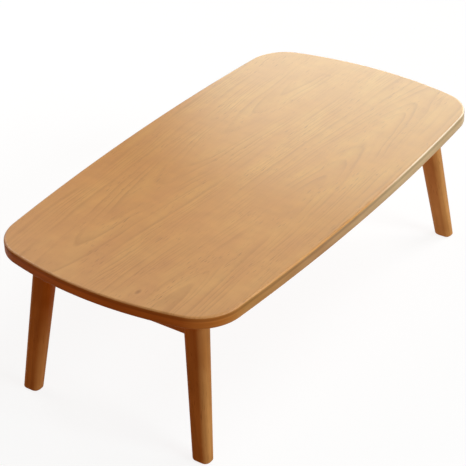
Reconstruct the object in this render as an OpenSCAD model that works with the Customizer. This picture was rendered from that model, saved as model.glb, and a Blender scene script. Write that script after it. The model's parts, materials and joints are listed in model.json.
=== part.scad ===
// Low table with a bowed rounded-oblong top and two splayed leg frames that fold under it.
// Origin: centre of the table on the floor. +X along the length, +Y to the back, +Z up.

/* [Table top] */
// Length of the top, end to end
top_length = 1000; // [800:10:1200]
// Width of the top, side to side
top_width = 550; // [460:10:700]
// Thickness of the top
top_thickness = 25; // [20:1:36]
// Height of the table from the floor
table_height = 330; // [280:5:420]
// Radius of the long sides' slight bow
side_bow_radius = 4800; // [3000:100:9000]
// Radius of the short ends' bow
end_bow_radius = 820; // [600:10:2000]
// Radius of the four corners
corner_radius = 88; // [60:2:120]
// Rounding of the upper edge
upper_edge_round = 5; // [1:0.5:6]
// Rounding of the lower edge
lower_edge_round = 3; // [1:0.5:6]

/* [Legs] */
// Distance from the end of the top to the leg's middle, at the underside
leg_end_inset = 94; // [80:1:130]
// Distance from the side of the top to the leg's middle, at the underside
leg_side_inset = 105; // [85:1:130]
// Lean of the legs towards the ends, in degrees
leg_end_splay = 8.6; // [4:0.2:12]
// Lean of the legs towards the long sides, in degrees
leg_side_splay = 6.1; // [3:0.2:9]
// Leg section at the top, along the length
leg_top_x = 36; // [28:1:42]
// Leg section at the top, across the width
leg_top_y = 48; // [40:1:56]
// Leg section at the foot, along the length
leg_foot_x = 28; // [22:1:34]
// Leg section at the foot, across the width
leg_foot_y = 38; // [30:1:44]
// Corner radius of the leg's section at the top
leg_top_corner = 15; // [5:1:18]
// Corner radius of the leg's section at the foot
leg_foot_corner = 12; // [5:1:14]
// Rounding of the foot's lower edge
foot_round = 3; // [1:0.5:4]
// Thickness of the felt pad under each foot
pad_thickness = 2; // [1:0.5:4]
// Distance from the foot's flat end's edge to the pad's edge
pad_inset = 1; // [0.5:0.5:2]

/* [Crossbars] */
// Thickness of the crossbar
crossbar_thickness = 22; // [18:1:26]
// Height of the crossbar
crossbar_height = 56; // [50:1:80]
// Gap between the crossbar and the underside, at its middle
crossbar_gap = 4; // [3:0.5:8]
// Rounding of the crossbar's long edges
crossbar_edge_round = 3; // [1:0.5:6]
// Thickness of the tenon
tenon_thickness = 10; // [8:1:12]
// Height of the tenon
tenon_height = 36; // [30:1:44]
// Length of the tenon inside the leg
tenon_length = 28; // [24:1:32]
// Diameter of the two pegs that lock each tenon
peg_diameter = 6; // [4:0.5:8]
// Distance from the leg's inner side to the pegs
peg_setback = 14; // [13:1:18]
// Distance between the two pegs of a tenon
peg_spacing = 20; // [14:1:24]

/* [Folding brackets] */
// Distance from the table's middle line to each bracket
bracket_offset = 100; // [60:1:115]
// Thickness of the bracket's steel
bracket_steel = 2; // [1.5:0.1:3]
// Width of the base plate, outside its ears
bracket_width = 34; // [32:1:44]
// Length of the base plate inboard of the pivot
base_length = 46; // [44:1:60]
// Length of the arm's plate on the crossbar
arm_length = 44; // [40:1:46]
// Distance of the pivot below the underside
hinge_drop = 8; // [7.5:0.1:11]
// Free space between the frame and the pivot
hinge_setback = 2; // [1:0.5:5]
// Diameter of the pivot pin
pin_diameter = 5; // [4:0.5:6]
// Diameter of the pin's two heads
pin_head_diameter = 9; // [8:0.5:11]
// Thickness of the pin's heads
pin_head_thickness = 1.5; // [1:0.1:2.5]
// Radius of the detent cam round the pin
cam_radius = 5; // [4.5:0.1:5.4]
// Distance from the pin's middle to the cam's two flats
cam_flat = 4.2; // [3.6:0.1:4.3]
// Thickness of the leaf spring
leaf_thickness = 0.8; // [0.5:0.1:1]
// Width of the leaf spring
leaf_width = 9; // [6:1:10]

/* [Screws and rivets] */
// Diameter of the screws' shanks
screw_diameter = 3.5; // [3:0.1:4]
// Diameter of the screws' countersunk heads
screw_head_diameter = 7; // [6:0.1:7.4]
// Length of the screws
screw_length = 14; // [11:1:16]
// Diameter of the rivet that holds the leaf spring
rivet_diameter = 3; // [2.5:0.1:3.5]

/* [Clearances] */
// Running clearance of the pin in the arm, on the radius
pin_running = 0.06; // [0.03:0.01:0.1]
// Clearance of the pin in the base's ears, on the radius
pin_fixed = 0.02; // [0.01:0.01:0.03]
// Side clearance between the arm's cheeks and the base's ears
cheek_clearance = 0.3; // [0.2:0.1:0.6]
// Clearance round tenons, pegs, screws and rivets
glue_clearance = 0.05; // [0.03:0.01:0.1]
// Distance that a tenon or screw stops short of the end of its hole
end_clearance = 1; // [0.5:0.5:2]

/* [Hidden] */

wood = "#c9955f";
leg_wood = "#9a5c2e";
steel = "#b9bcbe";
spring_steel = "#8d9196";
zinc = "#d5d2c6";
felt = "#4a4038";

LEFT = -1;
RIGHT = 1;
FRONT = -1;
BACK = 1;

$fn = 48;
overcut = 1;             // how far a cut runs past the face that it opens
side_arc_steps = 10;     // straight steps in half a long side
end_arc_steps = 8;       // straight steps in half a short end
corner_arc_steps = 14;   // straight steps round a corner of the top
edge_steps = 4;          // straight steps in the rounding of an edge
section_steps = 8;       // straight steps round a corner of a leg's section
least_flat = 2;          // flat that is left between two of a leg's corners

under_z = table_height - top_thickness;
foot_z = pad_thickness;
leg_top_centre = [top_length / 2 - leg_end_inset, top_width / 2 - leg_side_inset];
fold_angle = 90 + leg_end_splay;

// The pivot, in the plane of the length and the height, and in the leaning plane of a frame
frame_reach = max(leg_top_x / 2, crossbar_thickness / 2 + bracket_steel + cam_radius);
hinge_x = leg_top_centre.x - frame_reach - hinge_setback;
hinge_z = under_z - hinge_drop;
hinge_out = -(frame_reach + hinge_setback);
hinge_in_frame = [hinge_out * cos(leg_end_splay) - hinge_drop * sin(leg_end_splay),
    -hinge_out * sin(leg_end_splay) - hinge_drop * cos(leg_end_splay)];
bar_face = -crossbar_thickness / 2 - hinge_in_frame.x;
bar_top = -crossbar_gap - hinge_in_frame.y;

// Folding bracket
ear_radius = hinge_drop - bracket_steel;
cheek_radius = ear_radius - 0.5;
ear_run = 16;
cheek_run = 26;
cheek_outer = bracket_width / 2 - bracket_steel - cheek_clearance;
cheek_inner = cheek_outer - bracket_steel;
arm_top = bar_top - crossbar_edge_round - 1;
arm_width = 2 * cheek_outer;
plate_corner = 4;
screw_pair = 20;
base_screw_rows = [-13, -base_length + 8];
arm_screw_rows = [arm_top - 8, arm_top - arm_length + 8];
leaf_start = -base_length + 4;
leaf_rivet_x = leaf_start + 6;
leaf_bend = 3;
leaf_gap = 0.05;
leaf_tip = -6;

// Screws
screw_radius = screw_diameter / 2;
head_radius = screw_head_diameter / 2;
head_depth = head_radius - screw_radius;
screw_point = 3;
recess_width = 0.9;
recess_length = 4;
recess_depth = 1.2;
rivet_head_radius = rivet_diameter;
rivet_head_thickness = 1;

// Points on an arc, with both ends
function arc_points(centre, radius, from, to, steps) =
    [for (i = [0:steps]) let (a = from + (to - from) * i / steps) centre + radius * [cos(a), sin(a)]];

// Outline of a rectangle with round corners, round a centre
function rounded_box(centre, half, radius, steps) = concat(
    arc_points(centre + half - [radius, radius], radius, 0, 90, steps),
    arc_points(centre + [radius - half.x, half.y - radius], radius, 90, 180, steps),
    arc_points(centre - half + [radius, radius], radius, 180, 270, steps),
    arc_points(centre + [half.x - radius, radius - half.y], radius, 270, 360, steps));

// Top: a corner arc touches the long side's arc and the end's arc from inside
side_centre = [0, top_width / 2 - side_bow_radius];
end_centre = [top_length / 2 - end_bow_radius, 0];
function circle_crossing(a, radius_a, b, radius_b) =
    let (d = norm(b - a), along = (b - a) / d, across = [along.y, -along.x],
        run = (radius_a * radius_a - radius_b * radius_b + d * d) / (2 * d))
    a + run * along + sqrt(radius_a * radius_a - run * run) * across;
corner_centre = circle_crossing(side_centre, side_bow_radius - corner_radius,
    end_centre, end_bow_radius - corner_radius);
end_angle = atan2(corner_centre.y - end_centre.y, corner_centre.x - end_centre.x);
side_angle = atan2(corner_centre.y - side_centre.y, corner_centre.x - side_centre.x);

// A quarter of the outline, from the end's middle to the long side's middle
function quarter_outline(inset) = concat(
    arc_points(end_centre, end_bow_radius - inset, 0, end_angle, end_arc_steps),
    [for (i = [1:corner_arc_steps - 1])
        let (a = end_angle + (side_angle - end_angle) * i / corner_arc_steps)
        corner_centre + (corner_radius - inset) * [cos(a), sin(a)]],
    arc_points(side_centre, side_bow_radius - inset, side_angle, 90, side_arc_steps));
function mirrored(points, sx, sy) = [for (p = points) [sx * p.x, sy * p.y]];
function reversed(points, first, last) = [for (i = [last:-1:first]) points[i]];
function top_outline(inset) =
    let (q = quarter_outline(inset), last = len(q) - 1)
    concat(q, reversed(mirrored(q, -1, 1), 1, last - 1), mirrored(q, -1, -1),
        reversed(mirrored(q, 1, -1), 1, last - 1));

// Rounding of an edge: distance from the face and inset from the side, from the face inwards
function edge_levels(radius) =
    [for (i = [0:edge_steps]) let (a = 90 * i / edge_steps) radius * [1 - cos(a), 1 - sin(a)]];

// Legs: centre and section at a height
function leg_share(z) = (under_z - z) / (under_z - foot_z);
function leg_centre(z) =
    leg_top_centre + (under_z - z) * [tan(leg_end_splay), tan(leg_side_splay)];
function leg_half(z) =
    ([leg_top_x, leg_top_y] * (1 - leg_share(z)) + [leg_foot_x, leg_foot_y] * leg_share(z)) / 2;
function leg_corner(z) = min(leg_half(z).x - least_flat / 2,
    leg_top_corner * (1 - leg_share(z)) + leg_foot_corner * leg_share(z));

// Rings of points for the skins of the top and the legs
function at_height(points, z) = [for (p = points) [p.x, p.y, z]];
function top_ring(z, inset) = at_height(top_outline(inset), z);
function leg_ring(z, inset) = at_height(rounded_box(leg_centre(z), leg_half(z) - [inset, inset],
    leg_corner(z) - inset, section_steps), z);

// Crossbar: heights of its middle, in the frame and above the floor
bar_middle = -crossbar_gap - crossbar_height / 2;
bar_middle_z = under_z + bar_middle * cos(leg_end_splay);
shoulder_y = leg_centre(bar_middle_z).y - leg_half(bar_middle_z).y;
bar_end_y = leg_centre(under_z).y - leg_top_y / 2 + 1.5 * leg_top_corner;
tenon_end_y = shoulder_y + tenon_length;
peg_y = shoulder_y + peg_setback;
peg_outer = leg_half(bar_middle_z).x * cos(leg_end_splay);
peg_bottom = tenon_thickness / 2 + 4;

// Places
module at_end(end) mirror([end < 0 ? 1 : 0, 0, 0]) children();
module at_side(side) mirror([0, side < 0 ? 1 : 0, 0]) children();
module in_frame()
    translate([leg_top_centre.x, 0, under_z]) rotate([0, -leg_end_splay, 0]) children();
module at_pivot(end, side)
    at_end(end) translate([hinge_x, side * bracket_offset, hinge_z]) children();
module in_arm(end, side) at_pivot(end, side) rotate([0, -leg_end_splay, 0]) children();
module along_y(length) rotate([90, 0, 0]) linear_extrude(length, center = true) children();
module bar_y(radius, length) rotate([90, 0, 0]) cylinder(r = radius, h = length, center = true);

// Solids and cuts that repeat
// A skin through rings with as many points each, from the lowest up
module skin(rings) {
    count = len(rings[0]);
    top = count * (len(rings) - 1);
    polyhedron([for (ring = rings) each ring], concat(
        [[for (i = [0:count - 1]) i]],
        [for (k = [0:count:top - 1], i = [0:count - 1]) let (next = (i + 1) % count)
            [k + i, k + count + i, k + count + next, k + next]],
        [[for (i = [count - 1:-1:0]) top + i]]));
}

module screw() {
    difference() {
        union() {
            cylinder(r1 = screw_radius, r2 = head_radius, h = head_depth);
            translate([0, 0, head_depth - screw_length + screw_point])
                cylinder(r = screw_radius, h = screw_length - screw_point - head_depth);
            translate([0, 0, head_depth - screw_length])
                cylinder(r1 = screw_radius / 5, r2 = screw_radius, h = screw_point);
        }
        for (turn = [0, 90]) rotate(turn)
            translate([-recess_length / 2, -recess_width / 2, head_depth - recess_depth])
                cube([recess_length, recess_width, recess_depth + overcut]);
    }
}

// A countersunk hole through a plate whose outer face is at z = 0
module screw_hole() {
    translate([0, 0, -bracket_steel - overcut])
        cylinder(r = screw_radius + glue_clearance, h = bracket_steel + 2 * overcut);
    translate([0, 0, -head_depth])
        cylinder(r1 = screw_radius + glue_clearance, r2 = head_radius + glue_clearance, h = head_depth);
    cylinder(r = head_radius + glue_clearance, h = overcut);
}

module pilot_hole() translate([0, 0, -screw_length - end_clearance])
    cylinder(r = screw_radius + glue_clearance, h = screw_length + end_clearance + overcut);

// Screw places, with +Z out of the plate's outer face
module at_base_screws() for (x = base_screw_rows, y = [-screw_pair / 2, screw_pair / 2])
    translate([x, y, hinge_drop - bracket_steel]) rotate([180, 0, 0]) children();
module at_arm_screws() for (w = arm_screw_rows, y = [-screw_pair / 2, screw_pair / 2])
    translate([bar_face - bracket_steel, y, w]) rotate([0, -90, 0]) children();

// Table top
module tabletop() color(wood) difference() {
    skin(concat([for (level = edge_levels(lower_edge_round)) top_ring(under_z + level[0], level[1])],
        [for (i = [edge_steps:-1:0]) let (level = edge_levels(upper_edge_round)[i])
            top_ring(table_height - level[0], level[1])]));
    for (end = [LEFT, RIGHT], side = [FRONT, BACK])
        at_pivot(end, side) at_base_screws() pilot_hole();
}

// Legs and pads
module leg_body() skin(concat(
    [for (level = edge_levels(foot_round)) leg_ring(foot_z + level[0], level[1])],
    [leg_ring(under_z, 0)]));

module tenon(clearance, extra) translate([0, 0, bar_middle])
    cube([tenon_thickness + 2 * clearance, 2 * (tenon_end_y + extra),
        tenon_height + 2 * clearance], center = true);

module at_pegs() for (side = [FRONT, BACK], w = [-peg_spacing / 2, peg_spacing / 2])
    translate([0, side * peg_y, bar_middle + w]) rotate([0, -90, 0]) children();

module peg_holes() at_pegs() translate([0, 0, -peg_bottom - end_clearance])
    cylinder(d = peg_diameter + 2 * glue_clearance, h = peg_bottom + end_clearance + leg_top_x);

module leg() color(leg_wood) difference() {
    leg_body();
    in_frame() tenon(glue_clearance, end_clearance);
    in_frame() peg_holes();
}

module foot_pad() color(felt) translate([leg_centre(foot_z).x, leg_centre(foot_z).y, 0])
    linear_extrude(pad_thickness)
        polygon(rounded_box([0, 0], leg_half(foot_z) - (foot_round + pad_inset) * [1, 1],
            leg_corner(foot_z) - foot_round - pad_inset, section_steps));

// Crossbar: shoulders shaped to the legs, tenons on both ends
module crossbar() color(leg_wood) difference() {
    union() {
        difference() {
            in_frame() along_y(2 * bar_end_y)
                polygon(rounded_box([0, bar_middle], [crossbar_thickness, crossbar_height] / 2,
                    crossbar_edge_round, edge_steps));
            for (side = [FRONT, BACK]) at_side(side) leg_body();
        }
        in_frame() tenon(0, 0);
    }
    in_frame() peg_holes();
    for (side = [FRONT, BACK]) in_arm(RIGHT, side) at_arm_screws() pilot_hole();
}

module tenon_pegs() color(wood) in_frame() at_pegs() translate([0, 0, -peg_bottom])
    cylinder(d = peg_diameter, h = peg_bottom + peg_outer - end_clearance / 2);

// Folding bracket: base plate with two ears, under the top
module hinge_base() color(steel) difference() {
    union() {
        translate([0, 0, hinge_drop - bracket_steel]) linear_extrude(bracket_steel)
            polygon(rounded_box([(ear_radius - base_length) / 2, 0],
                [ear_radius + base_length, bracket_width] / 2, plate_corner, edge_steps));
        for (side = [FRONT, BACK])
            translate([0, side * (bracket_width - bracket_steel) / 2, 0]) along_y(bracket_steel)
                polygon(concat([[ear_radius - plate_corner, ear_radius + bracket_steel / 2]],
                    [[-ear_run - ear_radius, ear_radius + bracket_steel / 2], [-ear_run, ear_radius - 2]],
                    arc_points([0, 0], ear_radius, 215, 360, 3 * edge_steps)));
    }
    bar_y(pin_diameter / 2 + pin_fixed, bracket_width + 2 * overcut);
    at_base_screws() screw_hole();
    translate([leaf_rivet_x, 0, 0])
        cylinder(d = rivet_diameter + 2 * glue_clearance, h = hinge_drop + overcut);
}

// Folding bracket: arm plate with two cheeks, on the crossbar's inner face
module hinge_arm() color(steel) difference() {
    union() {
        translate([bar_face - bracket_steel, 0, arm_top - arm_length / 2]) rotate([0, 90, 0])
            linear_extrude(bracket_steel)
                polygon(rounded_box([0, 0], [arm_length, arm_width] / 2, plate_corner, edge_steps));
        for (side = [FRONT, BACK])
            translate([0, side * (cheek_outer + cheek_inner) / 2, 0]) along_y(bracket_steel)
                polygon(concat([[bar_face - bracket_steel / 2, arm_top - cheek_run],
                    [bar_face - bracket_steel / 2, arm_top - plate_corner]],
                    arc_points([0, 0], cheek_radius, 45, 225, 3 * edge_steps)));
    }
    bar_y(pin_diameter / 2 + pin_running, bracket_width);
    at_arm_screws() screw_hole();
}

// Cam between the cheeks, with a flat for the open leg and one for the folded leg
module hinge_cam() color(spring_steel) difference() {
    bar_y(cam_radius, 2 * cheek_inner);
    bar_y(pin_diameter / 2 + pin_running, 2 * cheek_inner + 2 * overcut);
    for (turn = [180, 180 - fold_angle]) rotate([0, turn, 0])
        translate([cam_flat, -cheek_inner - overcut, -cam_radius])
            cube([cam_radius, 2 * cheek_inner + 2 * overcut, 2 * cam_radius]);
}

module hinge_pin() color(zinc) union() {
    bar_y(pin_diameter / 2, bracket_width);
    for (side = [FRONT, BACK])
        translate([0, side * (bracket_width + pin_head_thickness) / 2, 0])
            bar_y(pin_head_diameter / 2, pin_head_thickness);
}

// Leaf spring: flat on the base plate, bent down to press on the cam's flat
module leaf_spring() color(spring_steel) {
    face = -cam_flat - leaf_gap;
    upper = ear_radius;
    bend_centre = [face - leaf_thickness - leaf_bend, upper - leaf_thickness - leaf_bend];
    difference() {
        along_y(leaf_width) polygon(concat(
            [[leaf_start, upper - leaf_thickness], [leaf_start, upper]],
            arc_points(bend_centre, leaf_bend + leaf_thickness, 90, 0, 2 * edge_steps),
            [[face, leaf_tip], [face - leaf_thickness, leaf_tip]],
            arc_points(bend_centre, leaf_bend, 0, 90, 2 * edge_steps)));
        translate([leaf_rivet_x, 0, 0])
            cylinder(d = rivet_diameter + 2 * glue_clearance, h = hinge_drop);
    }
}

module leaf_rivet() color(zinc) translate([leaf_rivet_x, 0, 0]) union() {
    translate([0, 0, ear_radius - leaf_thickness])
        cylinder(d = rivet_diameter, h = leaf_thickness + bracket_steel - glue_clearance);
    translate([0, 0, ear_radius - leaf_thickness - rivet_head_thickness])
        cylinder(r1 = rivet_head_radius * 0.6, r2 = rivet_head_radius, h = rivet_head_thickness);
}

module all_leaf_rivets() for (end = [LEFT, RIGHT], side = [FRONT, BACK])
    at_pivot(end, side) leaf_rivet();

module all_base_screws() color(zinc) for (end = [LEFT, RIGHT], side = [FRONT, BACK])
    at_pivot(end, side) at_base_screws() translate([0, 0, -head_depth]) screw();

module arm_screws(end) color(zinc) for (side = [FRONT, BACK])
    in_arm(end, side) at_arm_screws() translate([0, 0, -head_depth]) screw();

tabletop();
at_end(LEFT) at_side(FRONT) leg();  // leg_left_front
at_end(LEFT) at_side(BACK) leg();  // leg_left_back
at_end(RIGHT) at_side(FRONT) leg();  // leg_right_front
at_end(RIGHT) at_side(BACK) leg();  // leg_right_back
at_end(LEFT) at_side(FRONT) foot_pad();  // foot_pad_left_front
at_end(LEFT) at_side(BACK) foot_pad();  // foot_pad_left_back
at_end(RIGHT) at_side(FRONT) foot_pad();  // foot_pad_right_front
at_end(RIGHT) at_side(BACK) foot_pad();  // foot_pad_right_back
at_end(LEFT) crossbar();  // crossbar_left
at_end(RIGHT) crossbar();  // crossbar_right
at_end(LEFT) tenon_pegs();  // tenon_pegs_left
at_end(RIGHT) tenon_pegs();  // tenon_pegs_right
at_pivot(LEFT, FRONT) hinge_base();  // hinge_base_left_front
at_pivot(LEFT, BACK) hinge_base();  // hinge_base_left_back
at_pivot(RIGHT, FRONT) hinge_base();  // hinge_base_right_front
at_pivot(RIGHT, BACK) hinge_base();  // hinge_base_right_back
in_arm(LEFT, FRONT) hinge_arm();  // hinge_arm_left_front
in_arm(LEFT, BACK) hinge_arm();  // hinge_arm_left_back
in_arm(RIGHT, FRONT) hinge_arm();  // hinge_arm_right_front
in_arm(RIGHT, BACK) hinge_arm();  // hinge_arm_right_back
at_pivot(LEFT, FRONT) hinge_cam();  // hinge_cam_left_front
at_pivot(LEFT, BACK) hinge_cam();  // hinge_cam_left_back
at_pivot(RIGHT, FRONT) hinge_cam();  // hinge_cam_right_front
at_pivot(RIGHT, BACK) hinge_cam();  // hinge_cam_right_back
at_pivot(LEFT, FRONT) hinge_pin();  // hinge_pin_left_front
at_pivot(LEFT, BACK) hinge_pin();  // hinge_pin_left_back
at_pivot(RIGHT, FRONT) hinge_pin();  // hinge_pin_right_front
at_pivot(RIGHT, BACK) hinge_pin();  // hinge_pin_right_back
at_pivot(LEFT, FRONT) leaf_spring();  // leaf_spring_left_front
at_pivot(LEFT, BACK) leaf_spring();  // leaf_spring_left_back
at_pivot(RIGHT, FRONT) leaf_spring();  // leaf_spring_right_front
at_pivot(RIGHT, BACK) leaf_spring();  // leaf_spring_right_back
all_leaf_rivets();  // leaf_rivets
all_base_screws();  // base_screws
arm_screws(LEFT);  // arm_screws_left
arm_screws(RIGHT);  // arm_screws_right
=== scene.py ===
import json
from math import atan2, cos, pi, radians, sin, sqrt, tan

import bmesh
import bpy
from mathutils import Matrix, Vector


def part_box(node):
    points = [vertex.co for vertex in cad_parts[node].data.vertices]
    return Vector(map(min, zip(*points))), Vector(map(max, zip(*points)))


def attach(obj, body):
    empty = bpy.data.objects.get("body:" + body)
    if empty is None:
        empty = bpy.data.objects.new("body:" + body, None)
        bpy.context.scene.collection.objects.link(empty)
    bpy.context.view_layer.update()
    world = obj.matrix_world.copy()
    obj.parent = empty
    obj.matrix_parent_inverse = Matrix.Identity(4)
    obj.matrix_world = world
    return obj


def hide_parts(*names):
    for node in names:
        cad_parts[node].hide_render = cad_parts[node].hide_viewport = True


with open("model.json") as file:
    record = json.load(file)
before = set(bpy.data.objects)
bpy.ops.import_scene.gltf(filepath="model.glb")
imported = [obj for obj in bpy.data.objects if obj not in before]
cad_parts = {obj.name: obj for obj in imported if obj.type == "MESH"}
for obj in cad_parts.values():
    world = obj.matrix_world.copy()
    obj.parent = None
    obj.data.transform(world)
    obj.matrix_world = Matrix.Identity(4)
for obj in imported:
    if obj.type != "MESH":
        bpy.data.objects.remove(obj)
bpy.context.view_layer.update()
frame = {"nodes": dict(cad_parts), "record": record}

# Sizes in metres. What the frame knows is read from it, and the rest repeats the model's own sizes.
MM = 0.001
RIGHT, LEFT = 1, -1
BACK, FRONT = 1, -1
END_NAMES = {LEFT: "left", RIGHT: "right"}
SIDE_NAMES = {FRONT: "front", BACK: "back"}
CORNERS = [(end, side) for end in (LEFT, RIGHT) for side in (FRONT, BACK)]

top_low, top_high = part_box("tabletop")
TOP_LENGTH = top_high.x - top_low.x
TOP_WIDTH = top_high.y - top_low.y
UNDER_Z = top_low.z
TOP_Z = top_high.z
SIDE_BOW_RADIUS = 4800 * MM
END_BOW_RADIUS = 820 * MM
CORNER_RADIUS = 88 * MM
UPPER_EDGE_ROUND = 5 * MM
LOWER_EDGE_ROUND = 3 * MM

# The frames lean out to the ends by this much, and the legs in them to the sides
FRAME_LEAN = radians(8.6)
SIDE_LEAN = radians(6.1)
LEG_SPLAY = Vector((tan(FRAME_LEAN), tan(SIDE_LEAN)))
LEG_TOP = Vector((36, 48)) * MM
LEG_FOOT = Vector((28, 38)) * MM
LEG_CORNER_RADIUS = 15 * MM
FOOT_ROUND = 3 * MM
LEG_TOP_CENTRE = Vector((TOP_LENGTH / 2 - 94 * MM, TOP_WIDTH / 2 - 105 * MM, UNDER_Z))
FOOT_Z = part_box("leg_right_back")[0].z
LEG_DROP = UNDER_Z - FOOT_Z

# The joint of leg and crossbar: a tenon locked by two pegs
BAR_DROP = 32 * MM
TENON_THICKNESS = 10 * MM
TENON_HEIGHT = 36 * MM
TENON_LENGTH = 28 * MM
TENON_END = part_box("crossbar_right")[1].y
PEG_RADIUS = 3 * MM
PEG_SETBACK = 14 * MM
PEG_SPACING = 20 * MM
PEG_BOTTOM = 9 * MM
GLUE_CLEARANCE = 0.05 * MM
END_CLEARANCE = 1 * MM

# How near a corner lies to the place it is picked by, and the angle from which an edge stays sharp
PICK_REACH = 0.02 * MM
SHARP_ANGLE = radians(35)


# Modelling helpers

def deselect_all():
    bpy.ops.object.select_all(action="DESELECT")


def start_edit(piece, mode):
    """Opens a piece in edit mode with nothing selected, to pick its VERT, EDGE or FACE items."""
    deselect_all()
    piece.select_set(True)
    bpy.context.view_layer.objects.active = piece
    bpy.ops.object.mode_set(mode="EDIT")
    bpy.ops.mesh.select_mode(type=mode)
    bpy.ops.mesh.select_all(action="DESELECT")


def end_edit():
    bpy.ops.object.mode_set(mode="OBJECT")


def pick(kind, test):
    """Selects just those verts, edges or faces of the edited mesh whose corners all pass the test."""
    bpy.ops.mesh.select_all(action="DESELECT")
    data = bpy.context.edit_object.data
    mesh = bmesh.from_edit_mesh(data)
    for item in getattr(mesh, kind):
        corners = [item] if kind == "verts" else item.verts
        if all(test(corner.co) for corner in corners):
            item.select_set(True)
    mesh.select_flush_mode()
    bmesh.update_edit_mesh(data)


def face_outwards():
    """Turns every face of the edited piece outwards."""
    bpy.ops.mesh.select_all(action="SELECT")
    bpy.ops.mesh.normals_make_consistent(inside=False)


def near(value, wanted):
    return abs(value - wanted) < PICK_REACH


def add_modifier(piece, kind, **settings):
    """Adds a modifier with its settings and applies it to the mesh."""
    bpy.context.view_layer.objects.active = piece
    modifier = piece.modifiers.new(kind.lower(), kind)
    for name, value in settings.items():
        setattr(modifier, name, value)
    bpy.ops.object.modifier_apply(modifier=modifier.name)


def smooth(piece):
    """Smooth shading that keeps the sharp edges, with flat faces held flat."""
    deselect_all()
    piece.select_set(True)
    bpy.context.view_layer.objects.active = piece
    bpy.ops.object.shade_smooth_by_angle(angle=SHARP_ANGLE)
    add_modifier(piece, "WEIGHTED_NORMAL", keep_sharp=True, weight=100)


def name_piece(piece, name):
    piece.name = name
    piece.data.name = name
    return piece


def own_copy(piece, name):
    """A copy of a piece with a mesh of its own."""
    copy = bpy.data.objects.new(name, piece.data.copy())
    bpy.context.scene.collection.objects.link(copy)
    return name_piece(copy, name)


def cut(piece, cutter):
    """Cuts a shape out of a piece and removes the cutter."""
    add_modifier(piece, "BOOLEAN", object=cutter, operation="DIFFERENCE", solver="EXACT")
    bpy.data.objects.remove(cutter)


def put_in_place(piece, body, slot, materials, *nodes):
    """Gives a finished piece its materials and body, and hides the CAD nodes that it stands for. The
    slot is not used.
    """
    if piece.data.materials:
        piece.data.materials.clear()
    for material in materials:
        piece.data.materials.append(material)
    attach(piece, body)
    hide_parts(*nodes)


# The top: an edge of board carried round the eight arcs of its outline

FACE, EDGE, UNDERSIDE = range(3)

# How far up a facet of the upper round looks to share the face's finish, and the steps of each arc
FACE_LOOKS_UP = 0.6
HALF_END_STEPS, CORNER_STEPS, SIDE_STEPS = 12, 28, 44
UPPER_ROUND_STEPS, LOWER_ROUND_STEPS = 6, 4


def model_tabletop():
    """The board, its edge spun once round from the middle of the right end by way of the front."""
    thickness = TOP_Z - UNDER_Z
    deselect_all()
    bpy.ops.mesh.primitive_plane_add(
        size=thickness, rotation=(pi / 2, 0, 0),
        location=((TOP_LENGTH - thickness) / 2, 0, UNDER_Z + thickness / 2))
    top = name_piece(bpy.context.object, "table_board")
    bpy.ops.object.transform_apply(location=True, rotation=True, scale=True)
    start_edit(top, "VERT")
    pick("verts", lambda co: co.x < TOP_LENGTH / 2 - thickness / 2)
    bpy.ops.mesh.delete(type="VERT")
    bpy.ops.mesh.select_all(action="SELECT")

    side_y = SIDE_BOW_RADIUS - TOP_WIDTH / 2
    end_x = TOP_LENGTH / 2 - END_BOW_RADIUS
    corner_x, corner_y = corner_centre(side_y, end_x)
    end_turn = atan2(corner_y, corner_x - end_x)
    side_turn = pi / 2 - atan2(corner_y + side_y, corner_x)
    corner_turn = pi / 2 - end_turn - side_turn
    for turn, centre, steps in (
            (end_turn, (end_x, 0), HALF_END_STEPS),
            (corner_turn, (corner_x, -corner_y), CORNER_STEPS),
            (2 * side_turn, (0, side_y), SIDE_STEPS),
            (corner_turn, (-corner_x, -corner_y), CORNER_STEPS),
            (2 * end_turn, (-end_x, 0), 2 * HALF_END_STEPS),
            (corner_turn, (-corner_x, corner_y), CORNER_STEPS),
            (2 * side_turn, (0, -side_y), SIDE_STEPS),
            (corner_turn, (corner_x, corner_y), CORNER_STEPS),
            (end_turn, (end_x, 0), HALF_END_STEPS)):
        bpy.ops.mesh.spin(steps=steps, angle=turn, center=(*centre, UNDER_Z), axis=(0, 0, 1))
    bpy.ops.mesh.select_all(action="SELECT")
    bpy.ops.mesh.remove_doubles(threshold=0.05 * MM)

    for z, edge_round, steps in ((TOP_Z, UPPER_EDGE_ROUND, UPPER_ROUND_STEPS),
                                 (UNDER_Z, LOWER_EDGE_ROUND, LOWER_ROUND_STEPS)):
        pick("edges", lambda co: near(co.z, z))
        bpy.ops.mesh.edge_face_add()
        pick("edges", lambda co: near(co.z, z))
        bpy.ops.mesh.bevel(offset=edge_round, segments=steps, profile=0.5, affect="EDGES")
    face_outwards()
    end_edit()
    for face in top.data.polygons:
        if face.normal.z > FACE_LOOKS_UP:
            face.material_index = FACE
        elif face.center.z < UNDER_Z + LOWER_EDGE_ROUND:
            face.material_index = UNDERSIDE
        else:
            face.material_index = EDGE
    smooth(top)
    return top


def corner_centre(side_y, end_x):
    """The centre of a corner's arc, which touches the side's arc and the end's arc from inside."""
    side_reach = SIDE_BOW_RADIUS - CORNER_RADIUS
    end_reach = END_BOW_RADIUS - CORNER_RADIUS
    span = sqrt(end_x ** 2 + side_y ** 2)
    run = (side_reach ** 2 - end_reach ** 2 + span ** 2) / (2 * span)
    rise = sqrt(side_reach ** 2 - run ** 2)
    along = Vector((end_x, side_y)) / span
    return (run * along.x + rise * along.y, -side_y + run * along.y - rise * along.x)


# The legs: one is modelled at the right back corner and mirrored to the others

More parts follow.
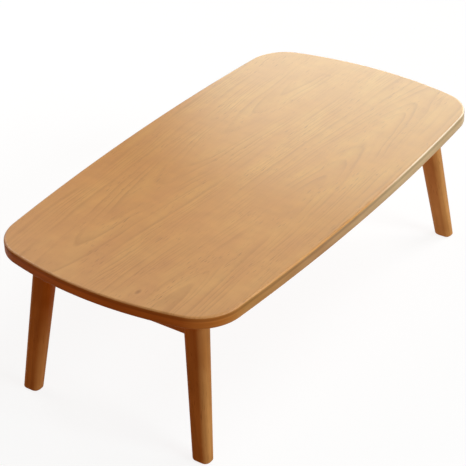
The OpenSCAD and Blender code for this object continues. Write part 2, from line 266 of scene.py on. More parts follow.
def model_leg():
    """A leg from its top section down to its smaller foot, with its joint cut."""
    deselect_all()
    bpy.ops.mesh.primitive_plane_add(size=1, location=LEG_TOP_CENTRE)
    leg = name_piece(bpy.context.object, "leg")
    bpy.ops.transform.resize(value=(LEG_TOP.x, LEG_TOP.y, 1))
    bpy.ops.object.transform_apply(location=True, rotation=True, scale=True)
    start_edit(leg, "VERT")
    bpy.ops.mesh.select_all(action="SELECT")
    bpy.ops.mesh.bevel(offset=LEG_CORNER_RADIUS, segments=16, profile=0.5, affect="VERTICES")
    bpy.ops.mesh.select_all(action="SELECT")
    drop = Vector((LEG_SPLAY.x, LEG_SPLAY.y, -1)) * LEG_DROP
    bpy.ops.mesh.extrude_region_move(TRANSFORM_OT_translate={"value": drop})
    bpy.ops.transform.resize(value=(LEG_FOOT.x / LEG_TOP.x, LEG_FOOT.y / LEG_TOP.y, 1),
                             center_override=LEG_TOP_CENTRE + drop)
    bpy.ops.mesh.select_mode(type="EDGE")
    pick("edges", lambda co: near(co.z, FOOT_Z))
    bpy.ops.mesh.bevel(offset=FOOT_ROUND, segments=5, profile=0.5, affect="EDGES")
    face_outwards()
    end_edit()
    cut_joint(leg)
    return leg


def in_frame(x, y, z):
    """A place given in the right end's leaning frame, from the middle of its top."""
    return Vector((LEG_TOP_CENTRE.x + x * cos(FRAME_LEAN) - z * sin(FRAME_LEAN), y,
                   UNDER_Z + x * sin(FRAME_LEAN) + z * cos(FRAME_LEAN)))


def cut_joint(leg):
    """Cuts the mortise for the crossbar's tenon and the two holes for its pegs."""
    deselect_all()
    depth = TENON_LENGTH + END_CLEARANCE + LEG_TOP.y / 2
    bpy.ops.mesh.primitive_cube_add(
        size=1, location=in_frame(0, TENON_END + END_CLEARANCE - depth / 2, -BAR_DROP),
        rotation=(0, -FRAME_LEAN, 0),
        scale=(TENON_THICKNESS + 2 * GLUE_CLEARANCE, depth, TENON_HEIGHT + 2 * GLUE_CLEARANCE))
    cut(leg, bpy.context.object)
    for step in (-1, 1):
        deselect_all()
        bpy.ops.mesh.primitive_cylinder_add(
            vertices=40, radius=PEG_RADIUS + GLUE_CLEARANCE, depth=LEG_TOP.x + PEG_BOTTOM,
            rotation=(0, pi / 2 - FRAME_LEAN, 0),
            location=in_frame((PEG_BOTTOM + END_CLEARANCE - LEG_TOP.x) / 2,
                              TENON_END - TENON_LENGTH + PEG_SETBACK,
                              -BAR_DROP + step * PEG_SPACING / 2))
        cut(leg, bpy.context.object)


def mirrored_copy(piece, name, end, side):
    """A copy mirrored to an end and a side of the table."""
    copy = own_copy(piece, name)
    copy.data.transform(Matrix.Diagonal((end, side, 1, 1)))
    start_edit(copy, "FACE")
    face_outwards()
    end_edit()
    return copy


# Copies of CAD pieces with their loose triangles merged and their edges taken off

def softened_copy(node, name, edge_round):
    """A copy of a CAD piece under another name, its edges rounded by this much."""
    copy = own_copy(frame["nodes"][node], name)
    start_edit(copy, "FACE")
    bpy.ops.mesh.select_all(action="SELECT")
    bpy.ops.mesh.customdata_custom_splitnormals_clear()
    bpy.ops.mesh.remove_doubles(threshold=0.002 * MM)
    bpy.ops.mesh.dissolve_limited(angle_limit=radians(0.5))
    end_edit()
    if edge_round:
        add_modifier(copy, "BEVEL", width=edge_round, segments=2, limit_method="ANGLE",
                     angle_limit=radians(40))
    smooth(copy)
    return copy


# Material helpers

def hex_colour(code):
    """A six-digit sRGB colour as linear red, green, blue and alpha."""
    shares = [int(code[i:i + 2], 16) / 255 for i in (0, 2, 4)]
    return (*[s / 12.92 if s <= 0.04045 else ((s + 0.055) / 1.055) ** 2.4 for s in shares], 1)


def grey(level):
    """A grey of this linear level, with alpha."""
    return (level, level, level, 1)


def new_material(name):
    material = bpy.data.materials.new(name)
    material.use_nodes = True
    material.node_tree.nodes.clear()
    return material


def add_node(material, kind, sockets={}, stops=(), **settings):
    """Adds a node, sets its options and colour stops, and fills its sockets with values or links."""
    tree = material.node_tree
    node = tree.nodes.new("ShaderNode" + kind)
    for name, value in settings.items():
        setattr(node, name, value)
    for count, (position, colour) in enumerate(stops):
        ramp = node.color_ramp.elements
        stop = ramp[count] if count < 2 else ramp.new(position)
        stop.position, stop.color = position, colour
    for socket, value in sockets.items():
        if isinstance(value, bpy.types.NodeSocket):
            tree.links.new(value, node.inputs[socket])
        else:
            node.inputs[socket].default_value = value
    return node.outputs


# A Mix node's sockets for colours, which share their names with those for numbers
MIX_A, MIX_B, MIX_RESULT = 6, 7, 2


def per_size(*millimetres):
    """The scale that makes one cell of a pattern this long along X, Y and Z."""
    return tuple(1 / (size * MM) for size in millimetres)


def mottle(material, vector, sizes, detail=1.0, output="Fac"):
    """Cloudy variation in blotches of these sizes, in millimetres along X, Y and Z."""
    scaled = add_node(material, "Mapping", {"Vector": vector, "Scale": per_size(*sizes)})["Vector"]
    return add_node(material, "TexNoise", {"Vector": scaled, "Scale": 1.0, "Detail": detail})[output]


# Wood

# Each wood's ground, pale patches, rosy patches, ring lines, gum flecks and end grain
TOP_COLOURS = ("D39B60", "D8A366", "CF965E", "98622F", "7E4E29", "945B2A")
LEG_COLOURS = ("B5814A", "C28E54", "AC743E", "90602F", "7C4A22", "8A5426")

# Growth rings: their spacing, by how many of them they stray, and how clear they are in dull and
# clear stretches
RING_SPACING = 8 * MM
RINGS_ASTRAY = 4.0
FAINTEST_RINGS, CLEAREST_RINGS = 0.04, 0.3

# Fibres: how far they wander across the board and into it, how much light they and the shimmer add to
# the plain level, and how high they stand under the lacquer
FIBRE_WANDER = Vector((0, 22, 14)) * MM
FIBRE_LIGHT = 0.15
SHIMMER_LIGHT = 0.16
PLAIN_LIGHT = 0.845
FIBRE_RELIEF = 0.12 * MM
LACQUER_IOR = 1.5

# A knot: its dark heart in shares of the reach within which the fibres bend round it, how far they
# bend, and what a step along them counts against one across, which makes the knot long
HEART_FROM, HEART_TO = 0.05, 0.22
HEART_DARKNESS = 0.5
KNOT_BEND = 0.8
STEP_ALONG = 0.55

# Places along the top between which the painted highlight on the front edge sets in, and places across
# it between which the rim comes into the painted light
HIGHLIGHT_FROM, HIGHLIGHT_FULLY = 0 * MM, 200 * MM
SHADED_BEHIND, LIT_BEFORE = -150 * MM, -240 * MM
# The painted highlight on the front edge: its pale cream colour, how far it is mixed in, and the gloss
# the edge reaches under it
PAINTED_HIGHLIGHT_COLOUR = "FFF1DA"
PAINTED_HIGHLIGHT_SHARE = 0.75
HIGHLIGHT_EDGE_GLOSS = 0.45
EDGE_DULLING = 0.2

# The lipping's darker and brighter lines: their colours at the left end, the near corner, the middle
# and the right end of the front, and where these lie as shares of the top's length. The paler, greyer
# tones towards the right end are painted light and sheen.
DEEP_EDGE = ("AB6B2C", "A3773D", "A57D51", "B59B6F")
BRIGHT_EDGE = ("C17F3F", "B98C56", "B89367", "C3AB81")
EDGE_PLACES = (0.06, 0.12, 0.35, 0.62)
LIPPING_ROUGHNESS = 0.42
LIPPING_GLOSS = 0.04
# The gloss that the front of the lipping reaches at its right end
RIGHT_FRONT_GLOSS = 0.25

# The shade of the lipping from its lower edge up, with the darker line under the upper round
LIPPING_SHADE = ((0, 0.9), (0.56, 1.02), (0.7, 0.74), (0.78, 0.74), (0.9, 0.96), (1, 1.0))


def fibre_flow(material, board, knots):
    """The board's frame bent to its fibres, which wander by a few millimetres over a hand's length and
    turn round the knots, and how much darker the knots are."""
    wander = mottle(material, board, (260, 70, 70), 2.0, "Color")
    wavy = add_node(material, "VectorMath", {0: wander, 1: FIBRE_WANDER, 2: board},
                    operation="MULTIPLY_ADD")["Vector"]
    dark_knots = 0
    for along, across, reach in knots:
        offset = add_node(material, "VectorMath", {0: board, 1: (along, across, 0)},
                          operation="SUBTRACT")["Vector"]
        stretched = add_node(material, "VectorMath", {0: offset, 1: (STEP_ALONG, 1, 0)},
                             operation="MULTIPLY")["Vector"]
        away = add_node(material, "VectorMath", {0: stretched}, operation="LENGTH")["Value"]
        pull = add_node(material, "MapRange", {
            "Value": away, "From Min": 0, "From Max": reach, "To Min": KNOT_BEND, "To Max": 0},
            interpolation_type="SMOOTHSTEP")["Result"]
        push = add_node(material, "VectorMath", {0: offset, "Scale": pull}, operation="SCALE")["Vector"]
        wavy = add_node(material, "VectorMath", {0: wavy, 1: push}, operation="SUBTRACT")["Vector"]
        dark_knots = add_node(material, "MapRange", {
            "Value": away, "From Min": HEART_FROM * reach, "From Max": HEART_TO * reach,
            "To Min": HEART_DARKNESS, "To Max": dark_knots})["Result"]
    return wavy, dark_knots


def fine_fibres(material, wavy):
    """Fibres are finer than a pixel of the picture, so they are drawn 2 to 4 mm wide as well."""
    fibres = 0
    for sizes, share in (((150, 4, 4), 0.35), ((90, 2, 2), 0.4), ((45, 0.7, 0.7), 0.25)):
        strands = mottle(material, wavy, sizes, 2.0)
        fibres = add_node(material, "Math", {0: strands, 1: share, 2: fibres},
                          operation="MULTIPLY_ADD")["Value"]
    return fibres


def late_wood(material, wavy, hearts):
    """Growth rings: darker late wood in lines round each heart line, uneven from year to year and
    clear in some stretches of the board only."""
    radius = None
    for across, depth, lean in hearts:
        heart = add_node(material, "Mapping", {
            "Vector": wavy, "Location": (0, across, -depth), "Rotation": (0, lean, 0)},
            vector_type="TEXTURE")["Vector"]
        flat = add_node(material, "VectorMath", {0: heart, 1: (0, 1, 1)}, operation="MULTIPLY")["Vector"]
        distance = add_node(material, "VectorMath", {0: flat}, operation="LENGTH")["Value"]
        radius = distance if radius is None else add_node(
            material, "Math", {0: radius, 1: distance}, operation="MINIMUM")["Value"]
    count = add_node(material, "Math", {0: radius, 1: 1 / RING_SPACING}, operation="MULTIPLY")["Value"]
    uneven = add_node(material, "TexNoise", {"W": count, "Scale": 0.35, "Detail": 1.0},
                      noise_dimensions="1D")["Fac"]
    years = add_node(material, "Math", {0: uneven, 1: RINGS_ASTRAY, 2: count},
                     operation="MULTIPLY_ADD")["Value"]
    season = add_node(material, "Math", {0: years}, operation="FRACT")["Value"]
    lines = add_node(material, "ValToRGB", {"Fac": season}, stops=[
        (0.0, grey(0)), (0.55, grey(0.25)), (0.88, grey(1)), (1.0, grey(0))])["Color"]
    stretches = mottle(material, wavy, (170, 60, 60))
    clear = add_node(material, "MapRange", {
        "Value": stretches, "From Min": 0.38, "From Max": 0.62,
        "To Min": FAINTEST_RINGS, "To Max": CLEAREST_RINGS})["Result"]
    return add_node(material, "Math", {0: lines, 1: clear}, operation="MULTIPLY")["Value"]


def paint_light_along_board(material, board, colour, painted_light_tones):
    """Paints light and shade along the board: tones given from end to end darken the wood and deepen its
    orange towards the middle and the right end.
    """
    length = add_node(material, "SeparateXYZ", {0: board})["X"]
    share = add_node(material, "MapRange", {
        "Value": length, "From Min": -TOP_LENGTH / 2, "From Max": TOP_LENGTH / 2})["Result"]
    tint = add_node(material, "ValToRGB", {"Fac": share}, stops=[
        (position, (*tone, 1)) for position, tone in painted_light_tones])["Color"]
    return add_node(material, "VectorMath", {0: colour, 1: tint}, operation="MULTIPLY")["Vector"]


def gum_flecks(material, board, wavy, dark_knots):
    """Short darker dashes that crowd in some stretches of the board, and the dark hearts of knots."""
    stretches = mottle(material, board, (120, 50, 50))
    crowd = add_node(material, "MapRange", {
        "Value": stretches, "From Min": 0.42, "From Max": 0.62, "To Max": 0.45})["Result"]
    specks = mottle(material, wavy, (17, 1.9, 1.9), 0.0)
    dashes = add_node(material, "MapRange", {
        "Value": specks, "From Min": 0.66, "From Max": 0.82})["Result"]
    return add_node(material, "Math", {0: dashes, 1: crowd, 2: dark_knots},
                    operation="MULTIPLY_ADD")["Value"]


def cut_across(material, normal, turn):
    """How far a face looks along the fibres and so shows end grain."""
    turned = add_node(material, "Mapping", {"Vector": normal, "Rotation": turn},
                      vector_type="TEXTURE")["Vector"]
    sideways = add_node(material, "SeparateXYZ", {0: turned})["X"]
    either_way = add_node(material, "Math", {0: sideways}, operation="ABSOLUTE")["Value"]
    return add_node(material, "MapRange", {
        "Value": either_way, "From Min": 0.75, "From Max": 0.97, "To Max": 0.8})["Result"]


def rounded_edges(material, normal):
    """1 on rounded edges, where a face looks between two of the table's directions, and 0 on flats."""
    size = add_node(material, "VectorMath", {0: normal}, operation="ABSOLUTE")["Vector"]
    parts = add_node(material, "SeparateXYZ", {0: size})
    level = add_node(material, "Math", {0: parts["X"], 1: parts["Y"]}, operation="MAXIMUM")["Value"]
    most = add_node(material, "Math", {0: level, 1: parts["Z"]}, operation="MAXIMUM")["Value"]
    return add_node(material, "MapRange", {"Value": most, "From Min": 0.97, "From Max": 0.8})["Result"]


def lit_front(material, across):
    """1 along the front, where light is painted on the rim and its upper edge, and 0 round the ends and
    the back.
    """
    return add_node(material, "MapRange", {
        "Value": across, "From Min": SHADED_BEHIND, "From Max": LIT_BEFORE})["Result"]


def paint_front_edge_highlight(material, board, edges, colour, gloss):
    """Paints a highlight on the front's rounded edge towards the right end: its colour is mixed towards
    a pale cream, and its gloss is raised a little. Gives the wood's colour and its gloss."""
    parts = add_node(material, "SeparateXYZ", {0: board})
    rightwards = add_node(material, "MapRange", {
        "Value": parts["X"], "From Min": HIGHLIGHT_FROM, "From Max": HIGHLIGHT_FULLY})["Result"]
    reach = add_node(material, "Math", {0: rightwards, 1: lit_front(material, parts["Y"])},
                     operation="MULTIPLY")["Value"]
    highlight_mask = add_node(material, "Math", {0: edges, 1: reach}, operation="MULTIPLY")["Value"]
    paler = add_node(material, "Math", {0: highlight_mask, 1: PAINTED_HIGHLIGHT_SHARE}, operation="MULTIPLY")["Value"]
    front_edge_highlight = add_node(material, "Mix", {0: paler, MIX_A: colour, MIX_B: hex_colour(PAINTED_HIGHLIGHT_COLOUR)},
                      data_type="RGBA")[MIX_RESULT]
    polish = add_node(material, "MapRange", {
        "Value": highlight_mask, "To Min": gloss, "To Max": HIGHLIGHT_EDGE_GLOSS})["Result"]
    return front_edge_highlight, polish


def finish_wood(material, colour, fibres, roughness, gloss, edges=0):
    """Thin lacquer or oil: it dulls a little over the open fibres, which also show in it as slight
    waves, and more on the rounded edges."""
    satin = add_node(material, "MapRange", {
        "Value": fibres, "To Min": roughness - 0.05, "To Max": roughness + 0.07})["Result"]
    rough = add_node(material, "Math", {0: edges, 1: EDGE_DULLING, 2: satin},
                     operation="MULTIPLY_ADD")["Value"]
    relief = add_node(material, "Bump", {"Height": fibres, "Strength": 0.25, "Distance": FIBRE_RELIEF})
    shader = add_node(material, "BsdfPrincipled", {
        "Base Color": colour, "Roughness": rough, "Normal": relief["Normal"], "IOR": LACQUER_IOR,
        "Specular IOR Level": gloss})["BSDF"]
    add_node(material, "OutputMaterial", {"Surface": shader})


def cherry(name, place, turn, hearts, colours, roughness, gloss, knots=(), painted_light_tones=(), front_edge_highlight=False):
    """Plain-sawn cherry, lacquered or oiled: a warm honey ground with fine fibres along the board,
    faint arched rings where the saw passed near the heart, soft rosy and yellow patches and small dark
    gum flecks. End grain drinks the finish and shows darker.

    place and turn bring the board's own frame, with X along its fibres, to the piece.
    hearts are the rings' middle lines: place across the board, depth under its face and lean.
    knots are pin knots: their place along and across the board, and how far they turn the fibres.
    The tones along the board are painted light and shade: places from end to end and their tones.
    The last argument, when true, paints a pale highlight on the front edge towards the right end."""
    material = new_material(name)
    ground, pale, rosy, ring_line, fleck, end_grain = (hex_colour(code) for code in colours)
    coordinates = add_node(material, "TexCoord")
    board = add_node(material, "Mapping", {
        "Vector": coordinates["Object"], "Location": place, "Rotation": turn},
        vector_type="TEXTURE")["Vector"]
    wavy, dark_knots = fibre_flow(material, board, knots)
    fibres = fine_fibres(material, wavy)

    # Patches of colour as long as a hand, with the ring lines over them
    tones = mottle(material, board, (150, 55, 55), 3.0)
    patches = add_node(material, "ValToRGB", {"Fac": tones}, stops=[
        (0.34, rosy), (0.5, ground), (0.68, pale)])["Color"]
    rings = late_wood(material, wavy, hearts)
    colour = add_node(material, "Mix", {0: rings, MIX_A: patches, MIX_B: ring_line},
                      data_type="RGBA")[MIX_RESULT]
    # Painted light and shade along the board
    if painted_light_tones:
        colour = paint_light_along_board(material, board, colour, painted_light_tones)

    # Light and dark fibres, and a faint shimmer across them
    streaks = add_node(material, "Math", {0: fibres, 1: FIBRE_LIGHT, 2: PLAIN_LIGHT},
                       operation="MULTIPLY_ADD")["Value"]
    shimmer = mottle(material, board, (24, 50, 50), 2.0)
    light = add_node(material, "Math", {0: shimmer, 1: SHIMMER_LIGHT, 2: streaks},
                     operation="MULTIPLY_ADD")["Value"]
    colour = add_node(material, "VectorMath", {0: colour, "Scale": light}, operation="SCALE")["Vector"]

    edges = rounded_edges(material, coordinates["Normal"])
    # A highlight painted on the front's rounded edge towards the right end
    if front_edge_highlight:
        colour, gloss = paint_front_edge_highlight(material, board, edges, colour, gloss)
    for share, tone in ((gum_flecks(material, board, wavy, dark_knots), fleck),
                        (cut_across(material, coordinates["Normal"], turn), end_grain)):
        colour = add_node(material, "Mix", {0: share, MIX_A: colour, MIX_B: tone},
                          data_type="RGBA")[MIX_RESULT]
    finish_wood(material, colour, fibres, roughness, gloss, edges)
    return material


def cherry_lipping(name):
    """The rim of the board: a cherry lipping whose fibres run round the edge in thin level lines,
    rubbed back to a duller and deeper brown than the face. Along the front, light and sheen are painted
    into it: it is paler and greyer towards the right end, and a little shinier there. It is darker at
    its lower edge and in a thin line under its upper round."""
    material = new_material(name)
    place = add_node(material, "TexCoord")["Object"]
    parts = add_node(material, "SeparateXYZ", {0: place})
    lines = mottle(material, place, (130, 130, 1.7), 2.0)
    bands = mottle(material, place, (90, 90, 12))
    tone = add_node(material, "Math", {0: lines, 1: 0.6, 2: bands}, operation="MULTIPLY_ADD")["Value"]
    share = add_node(material, "MapRange", {"Value": tone, "From Min": 0.55, "From Max": 1.05})["Result"]

    # How far along the front a place lies, which is nothing round the ends and the back
    length = add_node(material, "MapRange", {
        "Value": parts["X"], "From Min": -TOP_LENGTH / 2, "From Max": TOP_LENGTH / 2})["Result"]
    front = add_node(material, "Math", {0: length, 1: lit_front(material, parts["Y"])},
                     operation="MULTIPLY")["Value"]
    # Colours along the front, with painted light and sheen towards the right end
    deep, bright = (add_node(material, "ValToRGB", {"Fac": front}, stops=[
        (position, hex_colour(code)) for position, code in zip(EDGE_PLACES, codes)])["Color"]
        for codes in (DEEP_EDGE, BRIGHT_EDGE))
    colour = add_node(material, "Mix", {0: share, MIX_A: deep, MIX_B: bright},
                      data_type="RGBA")[MIX_RESULT]
    height = add_node(material, "MapRange", {
        "Value": parts["Z"], "From Min": UNDER_Z, "From Max": TOP_Z})["Result"]
    shade = add_node(material, "ValToRGB", {"Fac": height}, stops=[
        (level, grey(light)) for level, light in LIPPING_SHADE])["Color"]
    shaded = add_node(material, "VectorMath", {0: colour, 1: shade}, operation="MULTIPLY")["Vector"]
    polish = add_node(material, "MapRange", {
        "Value": front, "From Min": EDGE_PLACES[1], "From Max": EDGE_PLACES[3],
        "To Min": LIPPING_GLOSS, "To Max": RIGHT_FRONT_GLOSS})["Result"]
    finish_wood(material, shaded, lines, LIPPING_ROUGHNESS, polish)
    return material


def leg_turn(end, side):
    """The rotation that lays the board's X along a leg."""
    axis = Vector((end * LEG_SPLAY.x, side * LEG_SPLAY.y, -1))
    return axis.to_track_quat("X", "Z").to_euler()


# Metal and felt

def zinc_plate(name, dark, bright, roughness):
    """Bright zinc plating on pressed steel: a cool satin silver with faint cloudy blotches and the
    fine rolling lines of the sheet, duller where the tool has rubbed it."""
    material = new_material(name)
    place = add_node(material, "TexCoord")["Object"]
    clouds = mottle(material, place, (7, 7, 7), 3.0)
    lines = mottle(material, place, (14, 0.5, 0.5))
    tint = add_node(material, "ValToRGB", {"Fac": clouds}, stops=[
        (0.3, hex_colour(dark)), (0.7, hex_colour(bright))])["Color"]
    both = add_node(material, "Math", {0: clouds, 1: lines}, operation="MULTIPLY")["Value"]
    rough = add_node(material, "MapRange", {
        "Value": both, "To Min": roughness - 0.08, "To Max": roughness + 0.2})["Result"]
    relief = add_node(material, "Bump", {"Height": lines, "Strength": 0.2, "Distance": 0.05 * MM})
    shader = add_node(material, "BsdfPrincipled", {
        "Base Color": tint, "Metallic": 1.0, "Roughness": rough, "Normal": relief["Normal"]})["BSDF"]
    add_node(material, "OutputMaterial", {"Surface": shader})
    return material


def felt():
    """Pressed wool felt: a soft brown pad with matted fibres and a faint sheen at its edges."""
    material = new_material("pressed_wool_felt")
    place = add_node(material, "TexCoord")["Object"]
    fibre = mottle(material, place, (1.2, 1.2, 1.2), 4.0)
    colour = add_node(material, "ValToRGB", {"Fac": fibre}, stops=[
        (0.3, hex_colour("3E352D")), (0.7, hex_colour("5C5045"))])["Color"]
    relief = add_node(material, "Bump", {"Height": fibre, "Strength": 0.8, "Distance": 0.4 * MM})
    shader = add_node(material, "BsdfPrincipled", {
        "Base Color": colour, "Roughness": 0.95, "Normal": relief["Normal"],
        "Sheen Weight": 0.4, "Sheen Roughness": 0.6})["BSDF"]
    add_node(material, "OutputMaterial", {"Surface": shader})
    return material


def peg_wood():
    """Beech peg ends: pale tight end grain with darker dots, a shade lighter than the leg."""
    material = new_material("beech_end_grain")
    place = add_node(material, "TexCoord")["Object"]
    dots = mottle(material, place, (0.9, 0.9, 0.9), 2.0)
    colour = add_node(material, "ValToRGB", {"Fac": dots}, stops=[
        (0.35, hex_colour("A97A48")), (0.65, hex_colour("C99A63"))])["Color"]
    relief = add_node(material, "Bump", {"Height": dots, "Strength": 0.3, "Distance": 0.1 * MM})
    shader = add_node(material, "BsdfPrincipled", {
        "Base Color": colour, "Roughness": 0.5, "Normal": relief["Normal"]})["BSDF"]
    add_node(material, "OutputMaterial", {"Surface": shader})
    return material


# Pieces

top_frame = ((0, 0, TOP_Z), (0, 0, 0))
top_hearts = [(-140 * MM, 48 * MM, radians(4.5)), (120 * MM, 70 * MM, radians(-3.5))]
top_knots = [(-457 * MM, -83 * MM, 26 * MM)]
# Painted light and shade along the top, which darken and deepen it towards the middle and the right end
top_painted_light = [(0, (1, 1, 1)), (0.3, (0.95, 0.87, 0.61)), (0.42, (0.88, 0.77, 0.42)),
            (0.54, (0.90, 0.82, 0.52)), (1, (0.80, 0.77, 0.66))]
face_wood = cherry("satin_lacquered_cherry_top", *top_frame, top_hearts, TOP_COLOURS,
                   roughness=0.30, gloss=0.35, knots=top_knots, painted_light_tones=top_painted_light, front_edge_highlight=True)
under_wood = cherry("sealed_cherry_underside", *top_frame, top_hearts, LEG_COLOURS,
                    roughness=0.45, gloss=0.08)
put_in_place(model_tabletop(), "top", "top_wood",
             [face_wood, cherry_lipping("rubbed_cherry_lipping"), under_wood], "tabletop")

leg = model_leg()
leg_hearts = [(30 * MM, 26 * MM, radians(1.0))]
for end, side in CORNERS:
    corner_name = END_NAMES[end] + "_" + SIDE_NAMES[side]
    centre = (end * LEG_TOP_CENTRE.x, side * LEG_TOP_CENTRE.y, UNDER_Z)
    wood = cherry("oiled_cherry_leg_" + corner_name, centre, leg_turn(end, side), leg_hearts,
                  LEG_COLOURS, roughness=0.36, gloss=0.03)
    finished_leg = mirrored_copy(leg, "turned_out_leg_" + corner_name, end, side)
    smooth(finished_leg)
    put_in_place(finished_leg, END_NAMES[end] + "_frame", "leg_wood", [wood], "leg_" + corner_name)
bpy.data.objects.remove(leg)

bar_wood = cherry("oiled_cherry_crossbar", (0, 0, UNDER_Z), (0, 0, pi / 2),
                  [(20 * MM, 40 * MM, radians(1.2))], LEG_COLOURS, roughness=0.38, gloss=0.08)
bracket_steel = zinc_plate("zinc_plated_pressed_steel", "A9ADB2", "C3C6C8", 0.34)
spring_steel = zinc_plate("blued_spring_steel", "4A5058", "5E656E", 0.3)
cam_steel = zinc_plate("hardened_turned_steel", "8C8F92", "A5A7A9", 0.28)
fastener_zinc = zinc_plate("yellow_zinc_fasteners", "B9AE8C", "CFC6A6", 0.3)

# What dresses each kind of CAD piece: the start of its name, its slot, its edges' rounding, its finish
DRESSES = {
    "foot_pad": ("felt_pad", "felt", 0.4 * MM, felt()),
    "crossbar": ("shouldered_bar", "crossbar_wood", 0.5 * MM, bar_wood),
    "tenon_pegs": ("beech_pegs", "peg_wood", 0.4 * MM, peg_wood()),
    "hinge_base": ("pressed_base", "bracket_steel", 0.3 * MM, bracket_steel),
    "hinge_arm": ("pressed_arm", "bracket_steel", 0.3 * MM, bracket_steel),
    "hinge_cam": ("turned_cam", "cam_steel", 0.3 * MM, cam_steel),
    "hinge_pin": ("headed_pin", "zinc", 0.3 * MM, fastener_zinc),
    "leaf_spring": ("bent_leaf", "spring_steel", 0.15 * MM, spring_steel),
    "leaf_rivets": ("headed_rivets", "zinc", 0.2 * MM, fastener_zinc),
    "base_screws": ("countersunk_base_screws", "zinc", 0, fastener_zinc),
    "arm_screws": ("countersunk_arm_screws", "zinc", 0, fastener_zinc)}
for body, nodes in frame["record"]["behaviour"]["bodies"].items():
    for node in nodes:
        for kind, (start, slot, edge_round, finish) in DRESSES.items():
            if node.startswith(kind):
                copy = softened_copy(node, node.replace(kind, start), edge_round)
                put_in_place(copy, body, slot, [finish], node)


# Floor, light and camera

FLOOR_SIZE = 60
FLOOR_GREY = 0.16
FLOOR_GLOW = 0.87
SHADED_BOARDS, SUNNY_BOARDS = "BE7D3E", "FFF0E4"
LAMP_DISTANCE = 12


def seen_directly(material):
    """1 for what the camera sees, also by way of a shiny or clear piece, and 0 for light on a piece."""
    rays = add_node(material, "LightPath")
    seen = add_node(material, "Math", {0: rays["Is Camera Ray"], 1: rays["Is Glossy Ray"]},
                    operation="MAXIMUM")["Value"]
    return add_node(material, "Math", {0: seen, 1: rays["Is Transmission Ray"]},
                    operation="MAXIMUM")["Value"]


def make_floor():
    """A wide pale floor: white to the camera and in reflections with a soft shadow, clear from below,
    and the warm bounce of wooden boards for the light that it throws back on the table. The boards are
    sunny towards the right and the back."""
    deselect_all()
    bpy.ops.mesh.primitive_plane_add(size=FLOOR_SIZE)
    floor = name_piece(bpy.context.object, "floor")
    material = new_material("pale_floor")
    place = add_node(material, "SeparateXYZ", {0: add_node(material, "TexCoord")["Object"]})
    lit_x = add_node(material, "MapRange", {
        "Value": place["X"], "From Min": -0.3, "From Max": 0.35})["Result"]
    lit_y = add_node(material, "MapRange", {
        "Value": place["Y"], "From Min": -0.45, "From Max": -0.1})["Result"]
    sunny = add_node(material, "Math", {0: lit_x, 1: lit_y}, operation="MULTIPLY")["Value"]
    boards = add_node(material, "ValToRGB", {"Fac": sunny}, stops=[
        (0.0, hex_colour(SHADED_BOARDS)), (1.0, hex_colour(SUNNY_BOARDS))])["Color"]
    strength = add_node(material, "MapRange", {"Value": sunny, "To Min": 1.0, "To Max": 1.1})["Result"]
    bounce = add_node(material, "Emission", {"Color": boards, "Strength": strength})["Emission"]
    pale = add_node(material, "BsdfDiffuse", {"Color": grey(FLOOR_GREY)})["BSDF"]
    glow = add_node(material, "Emission", {"Color": grey(1), "Strength": FLOOR_GLOW})["Emission"]
    white = add_node(material, "AddShader", {0: pale, 1: glow})["Shader"]
    from_above = add_node(material, "MixShader", {
        0: seen_directly(material), 1: bounce, 2: white})["Shader"]
    clear = add_node(material, "BsdfTransparent")["BSDF"]
    below = add_node(material, "NewGeometry")["Backfacing"]
    mixed = add_node(material, "MixShader", {0: below, 1: from_above, 2: clear})["Shader"]
    add_node(material, "OutputMaterial", {"Surface": mixed})
    floor.data.materials.append(material)


def make_world():
    """White behind the table, and a dim warm fill on it."""
    world = bpy.data.worlds.new("studio")
    bpy.context.scene.world = world
    world.use_nodes = True
    world.node_tree.nodes.clear()
    fill = add_node(world, "Background", {"Color": hex_colour("FFB868"), "Strength": 0.12})["Background"]
    white = add_node(world, "Background", {"Color": grey(1), "Strength": 1.0})["Background"]
    mixed = add_node(world, "MixShader", {0: seen_directly(world), 1: fill, 2: white})["Shader"]
    add_node(world, "OutputWorld", {"Surface": mixed})


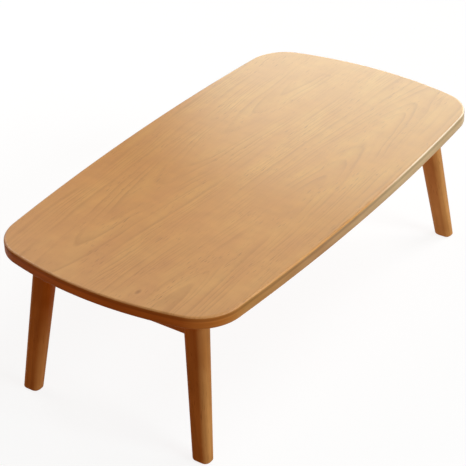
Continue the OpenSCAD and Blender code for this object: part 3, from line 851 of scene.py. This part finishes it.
def add_lamp(name, colour, radiance, size, place, aim, shine_only=False):
    """A soft lamp of this width and height, aimed at a point; radiance is what it shows in a mirror."""
    data = bpy.data.lights.new(name, "AREA")
    data.shape = "RECTANGLE"
    data.color = hex_colour(colour)[:3]
    data.size, data.size_y = size
    data.energy = radiance * pi * data.size * data.size_y
    lamp = bpy.data.objects.new(name, data)
    bpy.context.scene.collection.objects.link(lamp)
    back = Vector(place) - Vector(aim)
    lamp.matrix_world = Matrix.LocRotScale(Vector(place), back.to_track_quat("Z", "Y"), None)
    lamp.visible_camera = False
    lamp.visible_diffuse = not shine_only


def light_table():
    """Soft daylight from high at the right front, cooler light from the front, a little from behind,
    and two near windows beyond the right end that show only as shine."""
    table = Vector((0, 0, TOP_Z))
    add_lamp("key", "FFFFFF", 4.1, (8, 8), table + LAMP_DISTANCE * Vector((0.605, -0.366, 0.707)), table)
    add_lamp("front", "E4FAFF", 12.6, (4.8, 4.8), table + LAMP_DISTANCE * Vector((0.05, -0.91, 0.41)),
             table)
    add_lamp("back", "FFFFFF", 2.9, (1.5, 1.5), table + Vector((0.2, 2.2, 1.6)), table)
    for name, colour, radiance, size, centre in (
            ("tall_window", "FFFFE6", 1.6, (1.38, 1.05), Vector((0, 0.29, 0.525))),
            ("low_window", "F8FFE8", 3.9, (1.5, 0.85), Vector((0, 0.4, 0.425)))):
        add_lamp(name, colour, radiance, size, table + centre + Vector((1.3, 0, 0)), table + centre,
                 shine_only=True)


def make_camera():
    """A long lens at the front left, looking down at the table."""
    azimuth, elevation, roll = radians(-53.965), radians(32.347), radians(-2.234)
    distance = 3.1456
    target = Vector((-0.2107, -0.1145, TOP_Z))
    back = Vector((sin(azimuth) * cos(elevation), -cos(azimuth) * cos(elevation), sin(elevation)))
    level = Vector((cos(azimuth), sin(azimuth), 0))
    upright = back.cross(level)
    across = level * cos(roll) + upright * sin(roll)
    above = -level * sin(roll) + upright * cos(roll)
    data = bpy.data.cameras.new("camera")
    data.sensor_width = 36
    data.lens = 131.86
    camera = bpy.data.objects.new("camera", data)
    bpy.context.scene.collection.objects.link(camera)
    turn = Matrix((across, above, back)).transposed().to_4x4()
    camera.matrix_world = Matrix.Translation(target + back * distance) @ turn
    bpy.context.scene.camera = camera


make_floor()
make_world()
light_table()
make_camera()
bpy.context.scene.view_settings.view_transform = "Standard"
